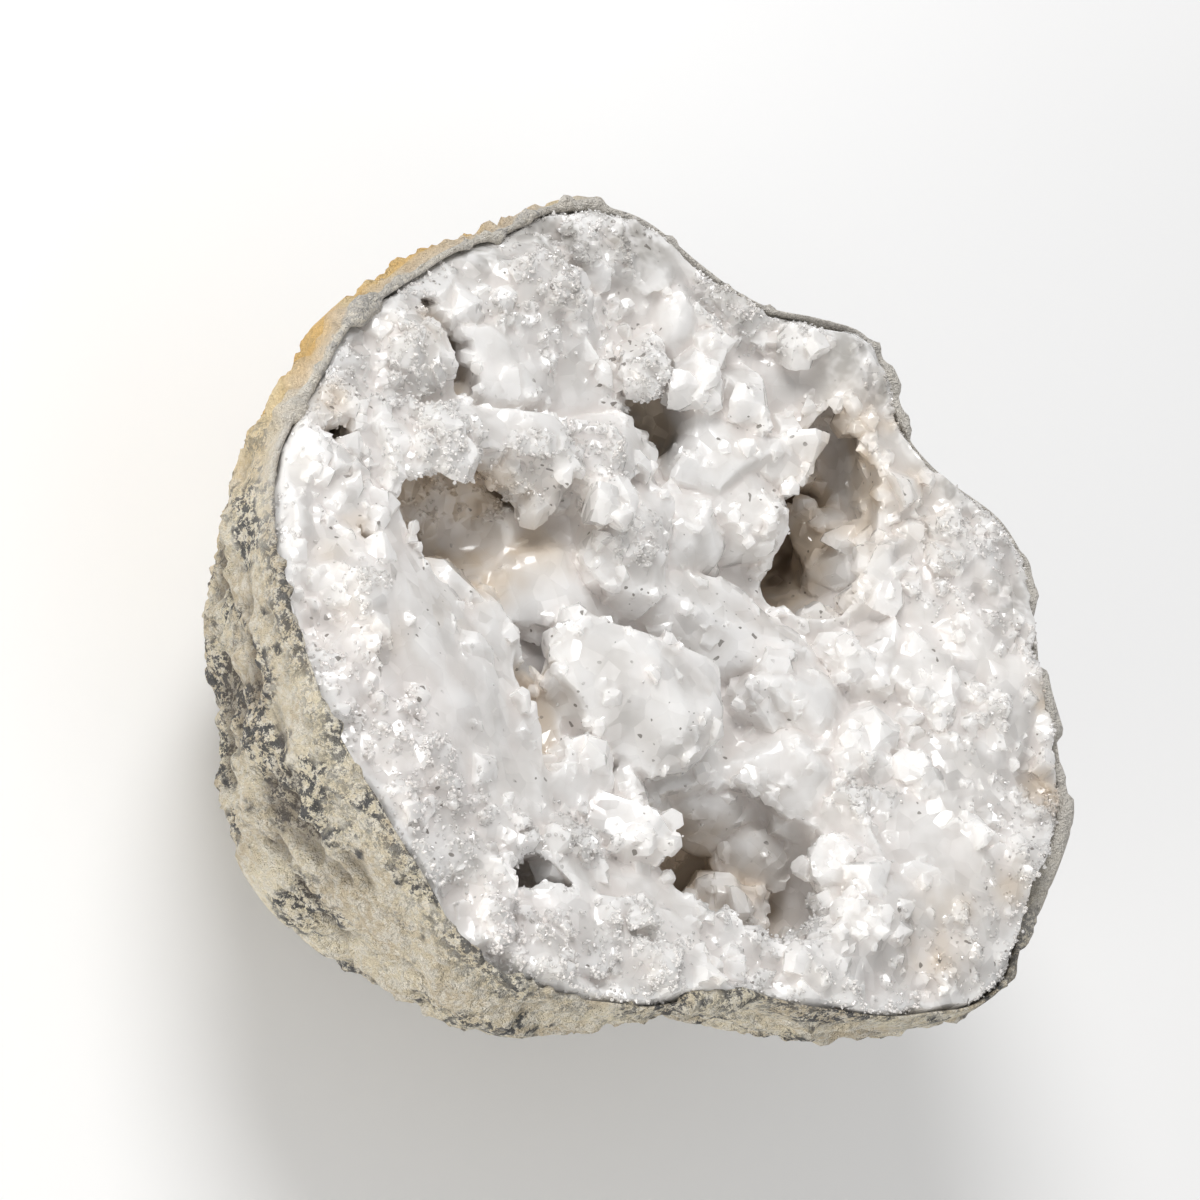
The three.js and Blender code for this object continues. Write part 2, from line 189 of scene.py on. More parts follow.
# The larger six-sided crystals: foot, tip and half width
CRYSTALS = [
    ((5, 28, 36.5), (2, 20.5, 41), 2.5), ((10, 27, 37), (8, 20.5, 42), 2.3),
    ((15, 18, 36), (21, 16, 40.5), 2.8), ((-7, -16.5, 35.5), (2, -21.5, 41), 3.4),
    ((-9, -19, 34.5), (-6, -25, 40.5), 2.7), ((26, -18.5, 36), (15.5, -22, 40), 2.7),
    ((31, -14.5, 35.5), (28, -11.5, 42.5), 2.6), ((27, -4, 32), (23, 0, 40.5), 2.4),
    ((12, -29.5, 34), (9, -27.5, 39.5), 1.7), ((18, -29.5, 34), (16, -27, 40.5), 1.8),
    ((2, -30.5, 34), (4, -28, 40), 1.8), ((-22, 25, 36), (-19, 21.5, 42), 2.3),
    ((-4, 18, 35), (0, 15, 40.5), 2.2), ((-12, 16, 36), (-10, 10.5, 40.5), 2.0),
    ((32, 10, 34), (28, 7, 41), 2.6), ((36, 3, 35), (33, 1, 41.5), 2.3),
    ((22, -8, 33), (18, -10, 39), 2.4), ((-20, 3, 34), (-14, 1, 38.5), 2.6),
    ((9.7, 30, 37), (11, 23.5, 42.3), 2.4), ((13, 25.5, 36.5), (15.5, 19, 42), 2.6),
    ((0.5, 13, 35.5), (0.5, 7.5, 40), 2.4), ((20, 22, 36), (19, 16.5, 40.5), 2.2),
    ((22, -25, 36), (17.5, -21, 40.3), 2.4),
]

# Tan and brown stains outside the pockets: place, reach, and how brown
STAINS = [
    ((-13, 9.5, 34.5), 6, 0.5), ((-8, 7.5, 36), 4, 0.35), ((-28.4, -1.4, 40.8), 2.6, 0.3),
    ((-27, -5.2, 41.9), 2.4, 0.3), ((-31, 2.5, 42), 2, 0.3), ((26.5, 16, 39.6), 6.5, 0.4),
    ((27, 20.3, 38.2), 5, 0.4), ((23.5, 5.8, 37), 4, 0.2), ((29, -26, 40.5), 4.5, 0.26),
    ((27, -29.6, 40.8), 3.5, 0.26), ((-8.6, -6.6, 37.4), 2.6, 0.3),
    ((41.8, -13.2, 41.6), 2.4, 0.42), ((35.8, -22.7, 40.8), 2.4, 0.38), ((6.1, 22.2, 31.5), 5, 0.8),
    ((-19.4, 23.5, 40), 2.6, 0.42), ((-30.3, 16, 41.5), 2.2, 0.3), ((43.5, -4, 41), 2.2, 0.6),
    ((14, -22, 27), 7, 0.22),
]

# Grey, weathered quartz near the broken edge: place and reach
WEATHERED = [
    ((3.3, 36, 41.6), 5), ((-4.7, 36, 41), 5), ((-13, 33, 41.5), 3), ((29, 23, 42.5), 4),
    ((25, 27, 41.6), 4), ((14, 33, 41), 4), ((35, 17, 41), 3.5), ((40.5, 5, 41), 3),
    ((38, -22, 41), 2.5),
]

# Where small crystals cover the quartz, smooth and cloudy elsewhere: x, y and reach
DRUSE_SPOTS = [
    (-29, 10, 5), (-31, 0, 4), (-28, 16, 4), (-19, 12, 4), (-22, 18, 4), (-9, 29, 6), (0, 27, 4),
    (-11, 12, 3), (-3, 14, 4), (1, 8, 3), (2, 23, 3), (17, 30, 4), (30, 25, 4), (35, 9, 6),
    (40, 3, 4), (33, -6, 5), (35, -14, 5), (23, -14, 3), (-15, -30, 5), (-5, -31, 5), (6, -30, 5),
    (17, -29, 5), (25, -31, 5), (37, -22, 4), (-18, -22, 5), (-8, -20, 3), (-25, -17, 4),
    (-31, -6, 4), (-28, -12, 4), (-23, -24, 4), (-33, 5, 4), (-25, 24, 4), (-1, 34, 4), (11, 31, 3),
    (41, -12, 4),
]

# Smooth yellow skin on the back: middle angle, reach in degrees and lowest height
OCHRE_SKIN = [(124, 40, 12), (357, 12, 20)]

random = np.random.default_rng(SEED)


def turned_about_z(x, y, degrees):
    a = math.radians(degrees)
    return x * math.cos(a) + y * math.sin(a), y * math.cos(a) - x * math.sin(a)


def polar(x, y):
    """Angle and distance about the hollow's axis."""
    return np.arctan2(y, x), np.hypot(x, y)


def smooth_step(edge0, edge1, value):
    t = np.clip((value - edge0) / (edge1 - edge0), 0, 1)
    return t * t * (3 - 2 * t)


def round_share(angles, middle, reach, full=0.7, none=1.1):
    """1 round a middle angle, in degrees, falling to 0 at about its reach."""
    apart = np.abs((np.degrees(angles) - middle + 180) % 360 - 180)
    return 1 - smooth_step(full, none, apart / reach)


def patch_at(points, place, reach):
    """1 at a place, falling to 0 well past its reach."""
    return np.exp(-(np.linalg.norm(points - np.array(place), axis=1) / reach) ** 2)


def spline_weights(points, start, cell):
    """Cubic B-spline weights, at points along one axis, of a lattice with the given cell."""
    place = (points - start) / cell + 1
    whole = np.floor(place).astype(int)
    t = place - whole
    weights = np.zeros((len(points), whole.max() + 3))
    rows = np.arange(len(points))
    rising, falling = (-3 * t**3 + 3 * t**2 + 3 * t + 1) / 6, (3 * t**3 - 6 * t**2 + 4) / 6
    shares = [(1 - t) ** 3 / 6, falling, rising, t**3 / 6]
    for k, share in enumerate(shares):
        weights[rows, whole - 1 + k] += share
    return weights


def grid_noise(axes, cell):
    """Smooth random values on the grid's axes, with bumps about a cell wide."""
    weights = [spline_weights(a, a[0], cell) for a in axes]
    field = random.standard_normal([w.shape[1] for w in weights])
    for w in weights:
        field = np.tensordot(field, w, axes=(0, 1))
    return (field * NOISE_GAIN).astype(np.float32)


class Field:
    """The crust as a function on a grid: negative inside, with the direction it grows fastest."""

    def __init__(self, bowl):
        self.axes = [np.arange(lo, hi, GRID_STEP) for lo, hi in zip(GRID_LOW, GRID_HIGH)]
        x, y, z = self.axes
        self.x, self.y, self.z = x[:, None, None], y[None, :, None], z[None, None, :]
        self.bowl = bowl
        self.warp = []
        for share in (1, 1, 0.6):
            bend = 1.2 * grid_noise(self.axes, 6.5) + 0.55 * grid_noise(self.axes, 2.8)
            self.warp.append(share * bend)
        self.value = self.slope = None

    def window(self, centre, reach):
        """Index slices of the part of the grid within reach of a centre."""
        spans = [np.searchsorted(a, (c - r, c + r)) for a, c, r in zip(self.axes, centre, reach)]
        return tuple(slice(*span) for span in spans)

    def around(self, centre, size):
        """The part of the grid that a mass can change."""
        return self.window(centre, [max(size) + WINDOW_MARGIN] * 3)

    def local(self, cut):
        return self.x[cut[0]], self.y[:, cut[1]], self.z[:, :, cut[2]]


def mass_distance(field, cut, centre, size, turn, planes=None):
    """Roughly the distance to an uneven ellipsoid, or to a block with flat faces in its place."""
    x, y, z = [a + bend[cut] for a, bend in zip(field.local(cut), field.warp)]
    u, v = turned_about_z(x - centre[0], y - centre[1], turn)
    u, v, w = u / size[0], v / size[1], (z - centre[2]) / size[2]
    if planes is None:
        reach = np.sqrt(u * u + v * v + w * w)
    else:
        reach = np.max([n[0] * u + n[1] * v + n[2] * w for n in planes], axis=0)
    return (reach - 1) * min(size)


def block_planes(count):
    """Directions of the flat faces of a block, each longer as its face is nearer."""
    directions = random.standard_normal((count, 3))
    directions /= np.linalg.norm(directions, axis=1)[:, None]
    return directions * random.uniform(0.98, 1.3, (count, 1))


def smooth_min(a, b, k):
    """The smaller of two values, rounded over where they are within k of each other."""
    h = np.clip(0.5 + 0.5 * (b - a) / k, 0, 1)
    return b + (a - b) * h - k * h * (1 - h)


def rim_rise(angle):
    """How far the edge of the broken face waves up or down."""
    return RIM_WAVE * (np.sin(2 * angle + 0.6) + 0.6 * np.sin(5 * angle + 2))


def wall_table(tree, angles, heights, toward_axis):
    """Distance from the axis to the rind's inner or outer wall, by angle and height, from rays."""
    table = np.full((len(angles), len(heights)), np.nan)
    far = 70.0
    for i, a in enumerate(angles):
        out = Vector((math.cos(a), math.sin(a), 0))
        for j, h in enumerate(heights):
            axis_point = Vector((-MIDDLE[0], -MIDDLE[1], h)) * MM
            start = axis_point + out * far * MM if toward_axis else axis_point
            hit = tree.ray_cast(start, -out if toward_axis else out, far * MM)
            if hit[0] is not None:
                table[i, j] = (hit[0] - axis_point).length / MM
    return table


def filled(table):
    """A table with the gaps along its heights filled in."""
    for row in table:
        good = np.flatnonzero(~np.isnan(row))
        row[:] = np.interp(np.arange(len(row)), good, row[good])
    return table


def looked_up(table, angles, heights, angle, height):
    """Values of a table between its angles and heights."""
    a = (angle % (2 * math.pi)) / (angles[1] - angles[0])
    h = np.clip((height - heights[0]) / (heights[1] - heights[0]), 0, len(heights) - 1.001)
    a0, h0 = np.floor(a).astype(int), np.floor(h).astype(int)
    ta, th = a - a0, h - h0
    a0, a1 = a0 % len(angles), (a0 + 1) % len(angles)
    low = table[a0, h0] * (1 - ta) + table[a1, h0] * ta
    high = table[a0, h0 + 1] * (1 - ta) + table[a1, h0 + 1] * ta
    return low * (1 - th) + high * th


def blurred_round(table, reach):
    """Averages a table round the angles and along the heights, to take the facets out."""
    for _ in range(reach):
        table = (np.roll(table, 1, 0) + 2 * table + np.roll(table, -1, 0)) / 4
        inner = (table[:, :-2] + 2 * table[:, 1:-1] + table[:, 2:]) / 4
        table = np.concatenate([table[:, :1], inner, table[:, -1:]], 1)
    return table


def in_dish(x, y):
    """0 in the middle of the shallow dish in the broken face and 1 on its edge."""
    (middle_x, middle_y), (half_x, half_y) = DISH["centre"], DISH["radii"]
    return np.hypot((x - middle_x) / half_x, (y - middle_y) / half_y)


def sugared(x, y):
    """1 where small crystals cover the quartz and 0 where it is smooth."""
    share = 0.4 * smooth_step(1.0, 1.2, in_dish(x, y))
    for cx, cy, reach in DRUSE_SPOTS:
        share = np.maximum(share, np.exp(-(((x - cx) ** 2 + (y - cy) ** 2) / reach**2)))
    return smooth_step(0.15, 0.6, share)


def broken_face(field, angle, radius, edge_radius, rough):
    """Height of the broken face: a shallow dish with a wavy edge and ripples."""
    x, y = field.x[:, :, 0], field.y[:, :, 0]
    share = np.clip(radius / edge_radius, 0, 1)
    top = RIM_HEIGHT - DISH["lip"] - DISH["depth"] * (1 - smooth_step(0.3, 1.1, in_dish(x, y)))
    top = top + rim_rise(angle) * share**3
    for cell, height in FACE_RIPPLES:
        top = top + height * grid_noise(field.axes[:2], cell) * (0.7 + 0.3 * rough)
    return FACE_LIMIT - LIMIT_SOFTNESS * np.log1p(np.exp((FACE_LIMIT - top) / LIMIT_SOFTNESS))


def add_masses(field, value):
    """Joins the lumps, cuts the pockets and sets smaller lumps inside them."""
    for centre, size, turn, blocky in LUMPS:
        cut = field.around(centre, size)
        flat_share, faces = BLOCKY if blocky else ROUNDED
        round_mass = mass_distance(field, cut, centre, size, turn)
        flat_mass = mass_distance(field, cut, centre, size, turn, block_planes(faces))
        mass = (1 - flat_share) * round_mass + flat_share * flat_mass
        value[cut] = smooth_min(value[cut], mass, LUMP_BLEND)
    for centre, size, turn, _ in POCKETS:
        cut = field.around(centre, size)
        hollow = mass_distance(field, cut, centre, size, turn)
        value[cut] = -smooth_min(-value[cut], hollow, LUMP_BLEND)
    for centre, size, turn, blocky in INNER_LUMPS:
        cut = field.around(centre, size)
        planes = block_planes(BLOCKY[1]) if blocky else None
        mass = mass_distance(field, cut, centre, size, turn, planes)
        value[cut] = smooth_min(value[cut], mass, LUMP_BLEND)


def base_field(field):
    """The crust without its crystals: wall, broken face, masses and fine relief."""
    x, y, z = field.x, field.y, field.z
    angle, radius = np.arctan2(y, x)[:, :, 0], np.hypot(x, y)[:, :, 0]
    column = looked_up(*field.bowl, angle[:, :, None], z)
    wall = (radius[:, :, None] - column + WALL_GAP).astype(np.float32)
    chipped = 0.14 + 0.4 * round_share(angle, BARE_ANGLE, BARE_REACH)[:, :, None]
    wall += chipped * np.abs(grid_noise(field.axes, 1.6)) * smooth_step(HIDDEN_BELOW, 40, z)

    rough = sugared(x, y)[:, :, 0]
    top = broken_face(field, angle, radius, column[:, :, -1], rough)
    value = ((z - top[:, :, None]) * FACE_STEEPNESS).astype(np.float32)
    add_masses(field, value)

    relief = np.zeros_like(value)
    for cell, height, calm in CRUST_RELIEF:
        relief += height * grid_noise(field.axes, cell) * (calm + (1 - calm) * rough)[:, :, None]
    value += relief
    value = np.maximum(value, z - FACE_LIMIT - 0.5)
    field.value = np.maximum(np.maximum(value, wall), FLOOR_HEIGHT - z)


def slopes(field):
    """Sets the direction in which the crust's function grows fastest."""
    parts = np.gradient(field.value, GRID_STEP)
    length = np.sqrt(sum(p * p for p in parts)) + 1e-6
    field.slope = [p / length for p in parts]


def crystal_planes(foot, tip, width):
    """Face directions and offsets of a six-sided prism with a pointed end, a little uneven."""
    foot, tip = np.array(foot, float), np.array(tip, float)
    axis = (tip - foot) / np.linalg.norm(tip - foot)
    side = np.cross(axis, [0.3, 0.2, 0.93])
    side /= np.linalg.norm(side)
    other = np.cross(axis, side)
    start = random.uniform(0, math.pi / 3)
    directions, offsets = [], []
    for k in range(6):
        a = start + k * math.pi / 3
        out = math.cos(a) * side + math.sin(a) * other
        directions.append(out)
        offsets.append(out @ foot + width * random.uniform(0.75, 1.05))
        slant = math.sin(POINT_ANGLE) * out + math.cos(POINT_ANGLE) * axis
        directions.append(slant)
        offsets.append(slant @ tip - width * random.uniform(-0.15, 0.35) * (k % 2))
    directions.append(-axis)
    offsets.append(-axis @ foot)
    return np.array(directions), np.array(offsets)


def add_crystal(field, foot, tip, width):
    """Joins one crystal to the crust, clear of the wall, with its faces' own directions."""
    directions, offsets = crystal_planes(foot, tip, width)
    middle = [(a + b) / 2 for a, b in zip(foot, tip)]
    reach = [abs(a - b) / 2 + 1.2 * width + GRID_STEP for a, b in zip(foot, tip)]
    cut = field.window(middle, reach)
    x, y, z = field.local(cut)
    faces = np.stack([n[0] * x + n[1] * y + n[2] * z - c for n, c in zip(directions, offsets)])
    which = faces.argmax(0)
    distance = np.take_along_axis(faces, which[None], 0)[0]
    angle, radius = polar(x, y)
    wall = radius - looked_up(*field.bowl, angle, z)
    nearer = (distance < field.value[cut]) & (wall < -CRYSTAL_GAP)
    field.value[cut][nearer] = distance[nearer]
    for k in range(3):
        field.slope[k][cut][nearer] = directions[which, k][nearer]


def crossed_edges(value, slope):
    """Inner grid edges that the surface crosses: axis, cell, point, normal, way it faces."""
    inside = value < 0
    crossings = []
    for axis in range(3):
        flips = np.diff(inside, axis=axis)
        for other in {0, 1, 2} - {axis}:
            side = np.moveaxis(flips, other, 0)
            side[0] = side[-1] = False
        at = np.argwhere(flips)
        to = at.copy()
        to[:, axis] += 1
        a, b = value[tuple(at.T)], value[tuple(to.T)]
        t = a / (a - b)
        point = at.astype(float)
        point[:, axis] += t
        near = np.where((t < 0.5)[:, None], at, to)
        normal = np.stack([s[tuple(near.T)] for s in slope], 1)
        crossings.append((axis, at, point, normal, a < 0))
    return crossings


def cells_beside(at, across, shifts, shape):
    """Flat indices of the cells beside crossed edges, for each shift."""
    found = []
    for shift in shifts:
        cell = at.copy()
        for k, move in zip(across, shift):
            cell[:, k] += move
        found.append(np.ravel_multi_index(cell.T, shape))
    return found


def contoured(value, slope, axes, step):
    """Dual contouring: one point in each cell that the surface crosses, set where the faces meet."""
    shape = value.shape
    crossings = crossed_edges(value, slope)
    cells, points, normals = [], [], []
    for axis, at, point, normal, _ in crossings:
        across = [k for k in range(3) if k != axis]
        cells += cells_beside(at, across, ((0, 0), (0, -1), (-1, 0), (-1, -1)), shape)
        points += [point] * 4
        normals += [normal] * 4
    points, normals = np.concatenate(points), np.concatenate(normals)
    ids, index = np.unique(np.concatenate(cells), return_inverse=True)
    count = np.bincount(index, minlength=len(ids))
    mean = np.stack([np.bincount(index, points[:, k], len(ids)) for k in range(3)], 1) / count[:, None]
    offset = points - mean[index]
    along = np.einsum("ij,ij->i", normals, offset)
    left = np.empty((len(ids), 3, 3))
    right = np.empty((len(ids), 3))
    for i in range(3):
        right[:, i] = np.bincount(index, normals[:, i] * along, len(ids))
        for j in range(3):
            pairs = np.bincount(index, normals[:, i] * normals[:, j], len(ids))
            left[:, i, j] = pairs + PULL_TO_MEAN * (i == j)
    corner = mean + np.linalg.solve(left, right[:, :, None])[:, :, 0]
    base = np.stack(np.unravel_index(ids, shape), 1)
    corner = np.clip(corner, base + CELL_ROOM[0], base + CELL_ROOM[1])
    faces = []
    for axis, at, _, _, outward in crossings:
        across = [(1, 2), (2, 0), (0, 1)][axis]
        ring = cells_beside(at, across, ((0, 0), (-1, 0), (-1, -1), (0, -1)), shape)
        quad = np.stack([np.searchsorted(ids, cell) for cell in ring], 1)
        quad[~outward] = quad[~outward][:, ::-1]
        faces.append(quad)
    origin = np.array([a[0] for a in axes])
    return origin + corner * step, np.concatenate(faces)


def linked(name, data):
    """An object in the scene."""
    made = bpy.data.objects.new(name, data)
    bpy.context.scene.collection.objects.link(made)
    return made


def new_object(name, points, faces, smooth=True):
    """A mesh object from points in list millimetres and faces of one size."""
    mesh = bpy.data.meshes.new(name)
    placed = (points - AXIS_SHIFT) * MM
    corners = faces.shape[1]
    mesh.vertices.add(len(placed))
    mesh.vertices.foreach_set("co", placed.astype(np.float32).ravel())
    mesh.loops.add(faces.size)
    mesh.loops.foreach_set("vertex_index", faces.astype(np.int32).ravel())
    mesh.polygons.add(len(faces))
    mesh.polygons.foreach_set("loop_start", np.arange(0, faces.size, corners, dtype=np.int32))
    mesh.polygons.foreach_set("use_smooth", np.full(len(faces), smooth))
    mesh.update(calc_edges=True)
    mesh.validate()
    return linked(name, mesh)


def shaped(piece, modifier_type, **settings):
    """Applies one modifier to a piece by taking its evaluated mesh."""
    modifier = piece.modifiers.new(modifier_type, modifier_type)
    for key, value in settings.items():
        setattr(modifier, key, value)
    graph = bpy.context.evaluated_depsgraph_get()
    mesh = bpy.data.meshes.new_from_object(piece.evaluated_get(graph))
    piece.modifiers.clear()
    piece.data = mesh


def read_rows(items, name):
    """Each item's three numbers as rows."""
    flat = np.empty(len(items) * 3, np.float32)
    items.foreach_get(name, flat)
    return flat.reshape(-1, 3).astype(float)


def vertex_array(mesh):
    """The vertices as rows of list millimetres."""
    return read_rows(mesh.vertices, "co") / MM + AXIS_SHIFT


def normal_array(mesh):
    return read_rows(mesh.vertex_normals, "vector")


def mark(mesh, **marks):
    """Stores values at the vertices for the materials to read."""
    for name, values in marks.items():
        data = mesh.attributes.new(name, "FLOAT", "POINT").data
        data.foreach_set("value", values.astype(np.float32))


def cast_walls():
    """Tables of the rind's outer and inner wall by angle and height, and its rim's height."""
    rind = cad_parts["rind"].data
    tree = BVHTree.FromPolygons([v.co for v in rind.vertices], [p.vertices for p in rind.polygons])
    angles = np.linspace(0, 2 * math.pi, WALL_ANGLES, endpoint=False)
    heights = np.linspace(FOOT_HEIGHT, 46, WALL_HEIGHTS)
    outer = wall_table(tree, angles, heights, True)
    inner = wall_table(tree, angles, heights, False)
    top = np.array([heights[np.flatnonzero(~np.isnan(row)).max()] for row in outer])
    top = blurred_round(np.repeat(top[:, None], 3, 1), 2)[:, 1]
    outer = blurred_round(filled(outer), 2)
    inner = blurred_round(filled(inner), 2)
    near_rim = smooth_step(-9, -2, heights[None, :] - top[:, None])
    slab = RIM_SLAB * smooth_step(0.3, 0.9, np.cos(angles - SLAB_ANGLE))
    thin = np.maximum(inner, outer - (RIM_THICKNESS + slab)[:, None])
    inner = inner + (thin - inner) * near_rim
    tables = {"outer": (outer, angles, heights), "inner": (inner, angles, heights)}
    return {**tables, "angles": angles, "top": top, "tree": tree}


def point_noise(points, cell):
    """Smooth random values at scattered points, with cells of the given size."""
    place = (points - points.min(0)) / cell
    whole = np.floor(place).astype(int)
    t = place - whole
    t = t * t * (3 - 2 * t)
    lattice = random.standard_normal(whole.max(0) + 2)
    total = 0
    for corner in np.ndindex(2, 2, 2):
        share = np.prod([t[:, k] if corner[k] else 1 - t[:, k] for k in range(3)], axis=0)
        total = total + share * lattice[tuple((whole + corner).T)]
    return total


def slope_at(field, points):
    """The crust's outward direction at points near it."""
    index = []
    for k, axis in enumerate(field.axes):
        nearest = np.rint((points[:, k] - axis[0]) / GRID_STEP).astype(int)
        index.append(np.clip(nearest, 0, len(axis) - 1))
    return np.stack([s[tuple(index)] for s in field.slope], 1)


def open_places(field, points, normals, clear):
    """True for points that face out of the hollow and stand clear of its wall."""
    angle, radius = polar(points[:, 0], points[:, 1])
    wall = looked_up(*field.bowl, angle, points[:, 2])
    return (normals[:, 2] > LEAST_FACING) & (points[:, 2] > LEAST_OPEN_HEIGHT) & (radius < wall - clear)


def recess_of(points, edges, normals, rounds):
    """How far each vertex lies below the smoothed surface around it."""
    a, b = edges.T
    count = len(points)
    degree = np.maximum(np.bincount(a, minlength=count) + np.bincount(b, minlength=count), 1)
    smooth = points.copy()
    for _ in range(rounds):
        for k in range(3):
            near = np.bincount(a, smooth[b, k], count) + np.bincount(b, smooth[a, k], count)
            smooth[:, k] = 0.3 * smooth[:, k] + 0.7 * near / degree
    return np.einsum("ij,ij->i", smooth - points, normals)


def grown_crystals(field):
    """Middle-sized crystals on the crust: foot, tip and half width of each."""
    halved = (slice(None, None, 2),) * 3
    axes = [a[::2] for a in field.axes]
    slope = [s[halved] for s in field.slope]
    points, quads = contoured(field.value[halved], slope, axes, 2 * GRID_STEP)
    normals = slope_at(field, points)
    edges = np.concatenate([quads[:, [0, 1]], quads[:, [1, 2]]])
    crest = smooth_step(0.05, 0.4, -recess_of(points, edges, normals, 8))
    use = open_places(field, points, normals, 0.5)
    points, normals, crest = points[use], normals[use], crest[use]
    druse = sugared(points[:, 0], points[:, 1])
    crystals = []
    for count, chance, widths, proud, spread in (
        (LOW_CRYSTALS, 1.1 - druse, (1.0, 2.8), (0.02, 0.3), 0.3),
        (DRUSE_CRYSTALS, 0.03 + druse, (0.5, 1.8), (0.2, 1.0), 0.45),
        (EDGE_CRYSTALS, 0.01 + crest, (0.5, 1.1), (0.2, 0.9), 0.6),
    ):
        picks = random.choice(len(points), count, replace=False, p=chance / chance.sum())
        for point, normal in zip(points[picks], normals[picks]):
            aim = normal + spread * random.standard_normal(3) + GROWTH_PULL
            aim /= np.linalg.norm(aim)
            width = widths[0] + (widths[1] - widths[0]) * random.random() ** 2.5
            room = (CRYSTAL_LIMIT - point[2]) / max(aim[2], 0.1)
            rise = min(random.uniform(*proud) * width, room)
            crystals.append((point - 1.6 * width * aim, point + rise * aim, width))
    return crystals


def grown_field(walls):
    """The crust's function, with its large and middle-sized crystals."""
    field = Field(walls["inner"])
    base_field(field)
    slopes(field)
    for foot, tip, width in CRYSTALS:
        add_crystal(field, foot, tip, width)
    for foot, tip, width in grown_crystals(field):
        add_crystal(field, foot, tip, width)
    field.value = np.maximum(field.value, field.z - CRYSTAL_LIMIT)
    return field


def make_crust(field, tree):
    """The crust as one closed mesh down to the bowl's floor, coarser where it is hidden."""
    points, quads = contoured(field.value, field.slope, field.axes, GRID_STEP)
    low = points[:, 2] < FLOOR_HEIGHT + GRID_STEP
    for i in np.flatnonzero(low):
        start = Vector((points[i] - AXIS_SHIFT) * MM)
        hit = tree.ray_cast(start, Vector((0, 0, -1)))
        if hit[0] is not None:
            points[i, 2] = hit[0].z / MM + FLOOR_GAP
    triangles = np.concatenate([quads[:, [0, 1, 2]], quads[:, [0, 2, 3]]])
    piece = new_object("quartz_crust", points, triangles)
    hide = piece.vertex_groups.new(name="hidden")
    angle, radius = polar(points[:, 0], points[:, 1])
    wall = looked_up(*field.bowl, angle, points[:, 2])
    hidden = (low | (radius > wall - 0.6)) & (points[:, 2] < HIDDEN_BELOW)
    hide.add(np.flatnonzero(hidden).tolist(), 1.0, "REPLACE")
    shaped(piece, "DECIMATE", ratio=1 - HIDDEN_SAVING * hidden.mean(), vertex_group="hidden")
    piece.vertex_groups.clear()
    shaped(piece, "DECIMATE", ratio=min(1, CRUST_TRIANGLES / len(piece.data.polygons)))
    piece.data.set_sharp_from_angle(angle=math.radians(SHARP_ANGLE))
    piece.data.validate()
    return piece


def mesh_recess(mesh):
    edges = np.empty(len(mesh.edges) * 2, np.int32)
    mesh.edges.foreach_get("vertices", edges)
    return recess_of(vertex_array(mesh), edges.reshape(-1, 2), normal_array(mesh), 24)


def stain_at(points):
    """How brown the quartz is: most in the depth of the pockets."""
    stain = np.zeros(len(points))
    for centre, size, turn, brown in POCKETS:
        u, v = turned_about_z(points[:, 0] - centre[0], points[:, 1] - centre[1], turn)
        across = np.hypot(u / (size[0] + 1), v / (size[1] + 1))
        deep = smooth_step(centre[2] + 2.5, centre[2] - size[2] * 0.7, points[:, 2])
        stain = np.maximum(stain, brown * (1 - smooth_step(0.75, 1.25, across)) * deep)
    for place, reach, brown in STAINS:
        stain = np.maximum(stain, brown * patch_at(points, place, reach))
    return stain


def grime_at(points):
    """How grey and weathered the quartz is."""
    return np.max([patch_at(points, place, reach) for place, reach in WEATHERED], axis=0)


def sugar_piece(name, points, normals, chance):
    """Many small pointed crystals, sunk a little in the crust, as one mesh."""
    count = SUGAR_COUNT
    picks = random.choice(len(points), count, p=chance / chance.sum())
    aim = normals[picks] + 0.55 * random.standard_normal((count, 3)) + GROWTH_PULL
    aim /= np.linalg.norm(aim, axis=1)[:, None]
    side = np.cross(aim, random.standard_normal((count, 3)))
    side /= np.linalg.norm(side, axis=1)[:, None]
    other = np.cross(aim, side)
    width = random.uniform(*SUGAR_WIDTHS, count)
    rise = width * random.uniform(*SUGAR_RISES, count)
    foot = points[picks] - aim * (1.5 * width)[:, None] + 0.1 * random.standard_normal((count, 3))
    rows = []
    for level in (-0.4, 0.35):
        for k in range(6):
            a = k * math.pi / 3
            out = math.cos(a) * side + math.sin(a) * other
            across = width * random.uniform(0.8, 1.1, count)
            rows.append(foot + out * across[:, None] + aim * (level * rise + 0.9 * width)[:, None])
    rows.append(foot + aim * (rise + 1.5 * width)[:, None])
    corners = np.stack(rows, 1)
    tip = len(rows) - 1
    faces = []
    for k in range(6):
        n = (k + 1) % 6
        faces += [(k, n, 6 + n), (k, 6 + n, 6 + k), (6 + k, 6 + n, tip)]
    faces += [(0, k + 1, k) for k in range(1, 5)]
    triangles = np.array(faces)[None] + len(rows) * np.arange(count)[:, None, None]
    piece = new_object(name, corners.reshape(-1, 3), triangles.reshape(-1, 3), smooth=False)
    stain, grime = stain_at(points[picks]), grime_at(points[picks])
    mark(piece.data, stain=np.repeat(stain, len(rows)), grime=np.repeat(grime, len(rows)))
    return piece


